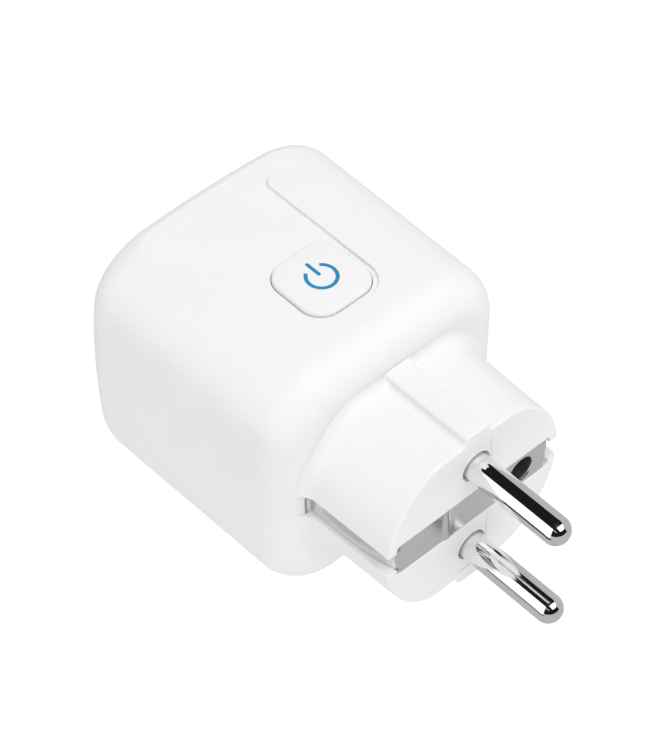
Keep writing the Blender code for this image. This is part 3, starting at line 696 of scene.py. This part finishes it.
def build_housing(materials):
    """The sleeve with its rounded back, the sunk lane on top and the hole for the button."""
    inner = BODY_WALL + BODY_TAPER
    inner_back = BACK_Y - BODY_WALL
    rings = []
    for step in range(15):
        angle = radians(90.0 * (1 - step / 14))
        y = BACK_Y - BACK_FILLET * (1 - sin(angle))
        rings.append(level_ring(BACK_FILLET * (1 - cos(angle)), y, BODY_TAPER))
    front_start = FRONT_FILLET + front_y(0.0, 0.0) + 4.5
    for step in range(1, 6):
        share = step / 6
        y = BACK_Y - BACK_FILLET + (front_start - BACK_Y + BACK_FILLET) * share
        rings.append(level_ring(0.0, y, BODY_TAPER * (1 - share)))
    reach = acos(1 - RIM_INSET / FRONT_FILLET)
    for _, cosine in swing(10, reach):
        rings.append(front_ring(FRONT_FILLET * (1 - cosine)))
    share = 1 - SEAM_LIP / HALF_WIDTH
    rings.append([(x * share, y + SEAM_LIP, z * share) for x, y, z in rings[-1]])
    rings.append(level_ring(RIM_INSET + SEAM_LIP, PANEL_BACK_Y))
    rings.append(level_ring(inner + SEAM_LIP, PANEL_BACK_Y + 0.6))
    rings.append(level_ring(inner, inner_back - 3.0))
    rings.append(level_ring(inner + 1.0, inner_back - 1.0))
    rings.append(level_ring(inner + 3.0, inner_back))
    housing = to_object("housing", loft(rings))

    cut(housing, moulded(lane_corners(), "Z",
                         sunk(HALF_HEIGHT - LANE_DEPTH, HALF_HEIGHT, LANE_FOOT, LANE_RIM), 12))
    half = BUTTON_HALF + BUTTON_GAP
    hole = rectangle(half, half, BUTTON_CORNER + BUTTON_GAP, (0.0, BUTTON_Y))
    lane_floor = HALF_HEIGHT - LANE_DEPTH
    cut(housing, moulded(hole, "Z", sunk(HALF_HEIGHT - 6.0, lane_floor, 0.0, 0.12), 14))
    opening = []
    for grow, y in sunk(BACK_Y - 6.0, BACK_Y, 0.0, 0.18):
        section = plug_section(PLUG_BASE_RADIUS, SKIN + grow, SKIN + grow)
        opening.append([(x, y, z) for x, z in section])
    cut(housing, loft(opening))
    for place in boss_places():
        weld(housing, rod("Y", place, BOSS_RADIUS, BOSS_END_Y, inner_back + 0.5, 32))
        cut(housing, rod("Y", place, BOSS_BORE, BOSS_END_Y - 1.0, BOSS_END_Y + 3.0, 24))
    finish_piece(housing, materials["white_plastic"], "white_plastic", "adapter", "housing_shell")


def build_plug(materials):
    """The plug's moulding: round core, central rib, channel, soft recess and pin collars."""
    flange_back = BOSS_END_Y - 0.3
    flange_front = flange_back - FLANGE_THICKNESS
    rise = 0.03
    rings = [plug_ring(flange_back - 0.5), plug_ring(BACK_Y - 0.6), skirt_ring(-0.3, rise, -0.3)]
    for sine, cosine in swing(8):
        rings.append(skirt_ring(PLUG_SKIRT * (1 - sine), rise + PLUG_SKIRT * (1 - cosine)))
    rings += [plug_ring(-12.0), plug_ring(-6.0)]
    for sine, cosine in swing(8):
        rings.append(plug_ring(-PLUG_END_EDGE * (1 - sine), -PLUG_END_EDGE * (1 - cosine)))
    plug = to_object("plug_moulding", loft(rings))

    face_channel = rectangle(FACE_CHANNEL_REACH, FACE_CHANNEL_HALF_WIDTH, 0.7)
    cut(plug, moulded(face_channel, "Y", sunk(CHANNEL_FLOOR_Y, 0.0, 0.15, CHANNEL_EDGE)))
    recess = rectangle(RECESS_HALF_WIDTH, RECESS_END, 1.4)
    cut(plug, moulded(recess, "Y", sunk(-RECESS_DEPTH, 0.0, 0.05, 0.07)))
    for side in (-1, 1):
        cut(plug, side_channel(side))
        edge = PLUG_BASE_RADIUS - 0.5
        half = CHANNEL_HALF_WIDTH + CHANNEL_EDGE + 0.1
        root = (side * edge, BACK_Y - 1.6, -half)
        cut(plug, box(root, (side * (edge + 4.0), BACK_Y + 0.2, half)))

    weld(plug, prism(body_outline(FLANGE_INSET, 8, 2), "Y", flange_front, flange_back))
    weld(plug, rod("Y", (0.0, 0.0), POST_RADIUS, POST_END_Y, flange_back, 32))
    for side in (-1, 1):
        place = (0.0, side * PIN_Z)
        collar = [(COLLAR_RADIUS, -3.0), (COLLAR_RADIUS, -0.12), (COLLAR_RADIUS - 0.04, -0.06),
                  (COLLAR_RADIUS - 0.12, -0.02)]
        weld(plug, turned("Y", place, collar))
        cut(plug, box((side * 6.6, flange_front - 1.0, -4.6), (side * 13.7, -4.2, 4.6)))
        hole = PIN_RADIUS + SKIN
        cut(plug, turned("Y", place, [
            (hole, flange_front - 1.0), (hole, -1.3), (hole + 0.28, -0.20), (hole + 0.40, 0.02),
            (hole + 0.40, 1.0)]))
    cut(plug, rod("Y", (EARTH_HOLE_X, 0.0), 3.0, -5.0, 1.0))

    cut(plug, rod("Y", (0.0, 0.0), POST_BORE, POST_END_Y - 1.0, -28.5, 24))
    for place in boss_places():
        cut(plug, rod("Y", place, 1.3, flange_front - 1.0, flange_back + 1.0, 24))
    finish_piece(plug, materials["white_plastic"], "white_plastic", "adapter", "plug_base")


def build_socket_face(materials):
    """The socket's face and its round well, with guides, pin holes and slots for the clips."""
    edge_inset = RIM_INSET + SEAM_GAP
    outer = WELL_RADIUS + WELL_WALL
    floor_back = WELL_FLOOR_Y + WELL_FLOOR_THICKNESS
    rings = []
    for sine, cosine in swing(6):
        y = WELL_FLOOR_Y - WELL_FOOT * (1 - cosine)
        rings.append(round_ring(WELL_RADIUS - WELL_FOOT + WELL_FOOT * sine, lambda x, z: y))
    for sine, cosine in swing(6):
        radius = WELL_RADIUS + WELL_MOUTH * (1 - cosine)
        fall = WELL_MOUTH * (1 - sine)
        rings.append(round_ring(radius, lambda x, z: face_y(x, z) + fall))
    mouth = rings[-1]
    edge = body_outline(edge_inset + SEAM_LIP)
    for step in range(1, 7):
        ring = []
        for (x, _, z), (edge_x, edge_z) in zip(mouth, edge):
            here_x = x + (edge_x - x) * step / 6
            here_z = z + (edge_z - z) * step / 6
            ring.append((here_x, face_y(here_x, here_z), here_z))
        rings.append(ring)
    rings.append([(x, face_y(x, z) + SEAM_LIP, z) for x, z in body_outline(edge_inset)])
    rings.append(level_ring(edge_inset, PANEL_BACK_Y))
    rings.append(round_ring(outer, lambda x, z: PANEL_BACK_Y))
    rings.append(round_ring(outer, lambda x, z: floor_back))
    face = to_object("socket_face", loft(rings))

    for side_x in (-1, 1):
        for side_z in (-1, 1):
            guide = rectangle(1.9, 1.7, 0.35, (side_x * 5.5, side_z * 17.9))
            tip = WELL_FLOOR_Y - GUIDE_LENGTH
            weld(face, moulded(guide, "Y", crowned(tip, WELL_FLOOR_Y + 1.0, 0.5, 0.0)))
    boss_end = POST_END_Y - 1.25
    weld(face, rod("Y", (0.0, 0.0), 3.0, WELL_FLOOR_Y + 1.0, boss_end))
    cut(face, turned("Y", (0.0, 0.0), [(3.05, WELL_FLOOR_Y - 2.0), (3.05, WELL_FLOOR_Y - 0.02),
                                       (2.8, WELL_FLOOR_Y + 0.35), (1.6, WELL_FLOOR_Y + 1.65),
                                       (1.6, boss_end + 1.0)]))
    flare = [(1.0, -1.0), (1.0, -0.02), (0.7, 0.05), (0.15, 0.55), (0.0, 0.9)]
    for side in (-1, 1):
        hole = [(SOCKET_HOLE_RADIUS + wider, WELL_FLOOR_Y + deeper) for wider, deeper in flare]
        hole.append((SOCKET_HOLE_RADIUS, floor_back + 1.0))
        cut(face, turned("Y", (0.0, side * PIN_Z), hole))
        slot = rectangle(1.0, 3.1, 0.3, (side * 18.1, 0.0))
        cut(face, moulded(slot, "Y", sunk(floor_back + 1.0, WELL_FLOOR_Y, 0.0, 0.15)))
    finish_piece(face, materials["white_plastic"], "white_plastic", "adapter", "socket_panel")


# Button

def icon_outlines(grow):
    """The power icon's open ring and its bar, seen from above, with the gap towards the front."""
    half = ICON_STROKE / 2 + grow
    end = grow / ICON_RADIUS
    start = -pi / 2 + ICON_GAP / 2 - end
    finish = 3 * pi / 2 - ICON_GAP / 2 + end
    outer = arc((0.0, BUTTON_Y), ICON_RADIUS + half, start, finish, 64)
    inner = arc((0.0, BUTTON_Y), ICON_RADIUS - half, finish, start, 64)
    middle = (0.0, BUTTON_Y - ICON_RADIUS + ICON_BAR * 0.16)
    bar = rounded(rectangle(half, ICON_BAR / 2 + grow, half * 0.95, middle), 8)
    return outer + inner, bar


def build_button(materials):
    """The push button's cap, and the light guide that shows the icon in it."""
    top = HALF_HEIGHT
    flange_top = top - BODY_WALL - BODY_TAPER - 0.3
    crown = cap_high.z - top
    profile = [(0.9, flange_top - 1.0), (0.9, flange_top), (0.0, flange_top)]
    for sine, cosine in swing(8):
        profile.append((-CAP_EDGE * (1 - cosine), top - CAP_EDGE * (1 - sine)))
    for share in (0.35, 0.65, 0.85, 1.0):
        profile.append((-CAP_EDGE - share * 2.6, top + crown * (1 - (1 - share) ** 2)))
    corners = rectangle(BUTTON_HALF, BUTTON_HALF, BUTTON_CORNER, (0.0, BUTTON_Y))
    cap = to_object("button", moulded(corners, "Z", profile, 14))
    skin = top - 1.2
    cut(cap, rod("Z", (0.0, BUTTON_Y), 4.8, flange_top - 2.0, skin))
    for outline in icon_outlines(ICON_CLEARANCE):
        cut(cap, prism(outline, "Z", skin - 1.0, top + 1.0))
    finish_piece(cap, materials["white_plastic"], "white_plastic", "button", "button_cap")

    guide_top = skin - 0.1
    guide = to_object("icon_inlay", rod("Z", (0.0, BUTTON_Y), 4.4, guide_top - 1.1, guide_top))
    for outline in icon_outlines(0.0):
        weld(guide, prism(outline, "Z", guide_top - 0.5, top + crown + 0.02))
    weld(guide, rod("Z", (0.0, BUTTON_Y), 1.6, SWITCH_TOP + 0.3, guide_top - 0.5, 32))
    finish_piece(guide, materials["blue_icon"], "blue_icon", "button", "icon_light_guide")


# Metal

def build_pins(materials):
    """Two solid pins with round tips."""
    for name, side, replaced in (("lower_pin", -1, "live_pin"), ("upper_pin", 1, "neutral_pin")):
        profile = [(1.0, PIN_ROOT_Y), (1.0, -24.6), (PIN_RADIUS - 0.1, -24.6), (PIN_RADIUS, -24.5)]
        tip = PIN_LENGTH - PIN_RADIUS
        for step in range(19):
            angle = pi / 2 * min(step / 18, 0.995)
            profile.append((PIN_RADIUS * cos(angle), tip + PIN_RADIUS * sin(angle)))
        pin = to_object(name, turned("Y", (0.0, side * PIN_Z), profile))
        finish_piece(pin, materials["nickel_plating"], "nickel_plating", "adapter", replaced)


def build_earth_strip(materials):
    """The bright strip across the plug's face and down its sides, with its hole and its bead."""
    across = CHANNEL_FLOOR_Y + 0.15 + STRIP_THICKNESS / 2
    side = STRIP_SIDE_X + STRIP_LEAN
    right = [(side, BACK_Y + 0.4), (side - 0.05, -11.5), (side - 0.2, -8.2), (side - 0.55, -5.4),
             (STRIP_SIDE_X, across)]
    left = [(-x, y) for x, y in reversed(right)]
    bead = []
    for step in range(25):
        share = step / 24
        rise = BEAD_HEIGHT * (1 - cos(2 * pi * share)) / 2
        bead.append((BEAD_X + BEAD_WIDTH * (0.5 - share), across + rise))
    path = bent(right + [(1.5, across)] + left, 0.9)
    split = 1 + max(index for index, point in enumerate(path) if point[0] > BEAD_X + BEAD_WIDTH)
    path = path[:split] + bead + [point for point in path[split:] if point[0] < 0.0]
    strip = to_object("earth_strip", prism(ribbon(path, STRIP_THICKNESS), "Z",
                                           -STRIP_HALF_WIDTH, STRIP_HALF_WIDTH))
    for end in (-1, 1):
        for edge in (-1, 1):
            shoulder = (end * STRIP_SHOULDER_X, BACK_Y - 1.0, edge * STRIP_SIDE_HALF_WIDTH)
            outside = (end * (side + 3.0), 1.0, edge * (STRIP_HALF_WIDTH + 1.0))
            cut(strip, box(shoulder, outside))
    soften(strip, 0.10, 2, 50.0)
    place = (EARTH_HOLE_X, 0.0)
    lip = EARTH_HOLE_RADIUS + 0.4
    weld(strip, turned("Y", place, [(lip, -4.0), (lip, across)]))
    face = across + STRIP_THICKNESS / 2
    flare = [(0.0, -0.35), (0.08, -0.14), (0.28, 0.03), (0.28, 1.0)]
    hole = [(EARTH_HOLE_RADIUS + wider, face + out) for wider, out in flare]
    cut(strip, turned("Y", place, [(EARTH_HOLE_RADIUS, -6.0)] + hole))
    finish_piece(strip, materials["rolled_nickel"], "nickel_plating", "adapter", "plug_earth_strip")


def build_earth_clips(materials):
    """The bracket behind the well and its two sprung clips."""
    bracket_y = clips_high.y - STRIP_THICKNESS / 2
    right = [(17.7, bracket_y), (18.4, -47.5), (18.0, -50.0), (16.5, -53.8), (16.5, -55.6),
             (18.6, -59.0)]
    path = bent([(-x, y) for x, y in reversed(right)] + right, 1.2)
    clips = to_object("earth_clips", prism(ribbon(path, STRIP_THICKNESS), "Z", -2.6, 2.6))
    cut(clips, rod("Y", (0.0, 0.0), 1.8, bracket_y - 2.0, bracket_y + 2.0))
    soften(clips, 0.12, 2, 50.0)
    finish_piece(clips, materials["plated_steel"], "plated_steel", "adapter",
                 "socket_earth_bracket")


def build_shutter(materials):
    """The turning shutter behind the pin holes."""
    low = rotor_low.y
    high = rotor_high.y
    bar = rectangle(3.4, 12.9, 3.3)
    shutter = to_object("shutter", moulded(bar, "Y", crowned(low, high, 0.25, 0.1), 12))
    hub = [(5.0, low + 0.02), (5.2, low + 0.2), (5.2, high - 0.02)]
    weld(shutter, turned("Y", (0.0, 0.0), hub))
    cut(shutter, rod("Y", (0.0, 0.0), 3.3, low - 1.0, high + 1.0))
    finish_piece(shutter, materials["shutter_plastic"], "shutter_plastic", "shutter",
                 "shutter_rotor")


def build_well_screw(materials):
    """The screw in the middle of the well's floor, with a cross recess."""
    head = WELL_FLOOR_Y + 0.1
    profile = [(1.6, head - 0.02), (2.3, head + 0.02), (2.55, head + 0.12), (2.6, head + 0.25),
               (1.2, head + 1.5), (1.2, screw_high.y - 1.3), (0.4, screw_high.y)]
    screw = to_object("well_screw", turned("Y", (0.0, 0.0), profile, 48))
    for half_x, half_z in ((1.5, 0.28), (0.28, 1.5)):
        tool = [(0.0, head - 1.0), (0.0, head), (-0.10, head + 0.6), (-0.16, head + 1.1)]
        cut(screw, moulded(rectangle(half_x, half_z, 0.05), "Y", tool, 3))
    finish_piece(screw, materials["plated_steel"], "plated_steel", "adapter", "panel_screw")


# Stage

def look_at(thing, place, target):
    """Put a light or camera somewhere and aim it."""
    thing.location = place
    thing.rotation_euler = (Vector(target) - Vector(place)).to_track_quat("-Z", "Y").to_euler()


def area_light(name, place, target, size, power, tone=(1.0, 1.0, 1.0)):
    """A square soft light."""
    data = bpy.data.lights.new(name, "AREA")
    data.shape = "SQUARE"
    data.size = size
    data.energy = power
    data.color = tone
    light = bpy.data.objects.new(name, data)
    bpy.context.collection.objects.link(light)
    look_at(light, place, target)


def set_glow(material, strength):
    """Make a stage material shine white, and give its shader."""
    shader = material.node_tree.nodes["Principled BSDF"]
    shader.inputs["Emission Color"].default_value = (1.0, 1.0, 1.0, 1.0)
    shader.inputs["Emission Strength"].default_value = strength
    return shader


def card(name, low, high, glow):
    """A card that is seen only in reflections: its two opposite corners share one coordinate."""
    axis = [index for index in range(3) if low[index] == high[index]][0]
    first, second = [index for index in range(3) if index != axis]
    corners = []
    for u, v in ((low, low), (high, low), (high, high), (low, high)):
        corner = [0.0, 0.0, 0.0]
        corner[axis] = low[axis]
        corner[first] = u[first]
        corner[second] = v[second]
        corners.append(corner)
    mesh = bpy.data.meshes.new(name)
    mesh.from_pydata(corners, [], [(0, 1, 2, 3)])
    board = bpy.data.objects.new(name, mesh)
    bpy.context.collection.objects.link(board)
    material = surface(name, (0.01, 0.01, 0.01), (0.012, 0.012, 0.012), 0.9, grain=60.0, bump=0.0)
    set_glow(material, glow).inputs["Specular IOR Level"].default_value = 0.0
    mesh.materials.append(material)
    board.visible_camera = False
    board.visible_diffuse = False
    board.visible_shadow = False


def build_stage():
    """A pale floor under a soft white sky, a large light overhead and cards for the metal."""
    shape = bmesh.new()
    bmesh.ops.create_grid(shape, x_segments=24, y_segments=24, size=3.0)
    floor_mesh = bpy.data.meshes.new("floor")
    shape.to_mesh(floor_mesh)
    shape.free()
    floor = bpy.data.objects.new("floor", floor_mesh)
    bpy.context.collection.objects.link(floor)
    paper = surface("floor_paper", (0.35, 0.35, 0.35), (0.36, 0.36, 0.36), 0.8, grain=60.0,
                    bump=0.0)
    set_glow(paper, FLOOR_GLOW)
    floor_mesh.materials.append(paper)

    world = bpy.data.worlds.new("studio")
    bpy.context.scene.world = world
    world.use_nodes = True
    sky = world.node_tree.nodes["Background"]
    sky.inputs["Color"].default_value = (1.0, 1.0, 1.0, 1.0)
    sky.inputs["Strength"].default_value = WORLD_STRENGTH

    area_light("overhead", (0.0, 0.37, 1.17), (0.0, 0.0, 0.02), 0.9, LIGHT_POWER)
    card("dark_card", (-0.55, -0.90, 0.60), (0.50, 0.90, 0.60), 0.0)
    card("dark_back", (-0.55, 0.75, 0.02), (0.60, 0.75, 0.60), 0.0)
    card("dark_side", (0.60, -0.20, 0.02), (0.60, 0.75, 0.60), 0.0)
    card("bright_card", (0.09, -0.20, 0.003), (0.09, 0.06, 0.145), 1.3)
    card("dark_foot", (0.048, -0.20, 0.002), (0.09, 0.06, 0.002), 0.0)
    card("high_card", (-0.40, 0.20, 0.45), (0.10, 0.70, 0.45), 1.5)
    card("grey_floor", (-0.60, -0.90, 0.0005), (0.60, 0.90, 0.0005), 0.50)
    card("grey_wall", (-0.55, -0.90, 0.001), (-0.55, 0.90, 0.60), 0.50)


def build_camera():
    """The camera: a long lens from above, beside the pins."""
    azimuth = radians(CAMERA_AZIMUTH)
    elevation = radians(CAMERA_ELEVATION)
    back = Vector((sin(azimuth) * cos(elevation), -cos(azimuth) * cos(elevation), sin(elevation)))
    right = Vector((0.0, 0.0, 1.0)).cross(back).normalized()
    up = back.cross(right)
    roll = radians(CAMERA_ROLL)
    right_turned = right * cos(roll) + up * sin(roll)
    up_turned = up * cos(roll) - right * sin(roll)
    data = bpy.data.cameras.new("camera")
    data.lens = CAMERA_LENS
    data.clip_start = 0.01
    camera = bpy.data.objects.new("camera", data)
    bpy.context.collection.objects.link(camera)
    turn = Matrix((right_turned, up_turned, back)).transposed().to_4x4()
    camera.matrix_world = Matrix.Translation(SEAT + Vector(CAMERA_PLACE) * MM) @ turn
    bpy.context.scene.camera = camera


def main():
    """Build the looks round the frame."""
    materials = make_materials()
    for part in frame["record"]["subparts"]:
        cad = frame["nodes"][part["node"]]
        cad.data.materials.clear()
        cad.data.materials.append(materials[part["material_slot"]])
    build_housing(materials)
    build_plug(materials)
    build_socket_face(materials)
    build_button(materials)
    build_pins(materials)
    build_earth_strip(materials)
    build_earth_clips(materials)
    build_shutter(materials)
    build_well_screw(materials)
    build_stage()
    build_camera()
    bpy.context.scene.view_settings.view_transform = "Standard"


main()
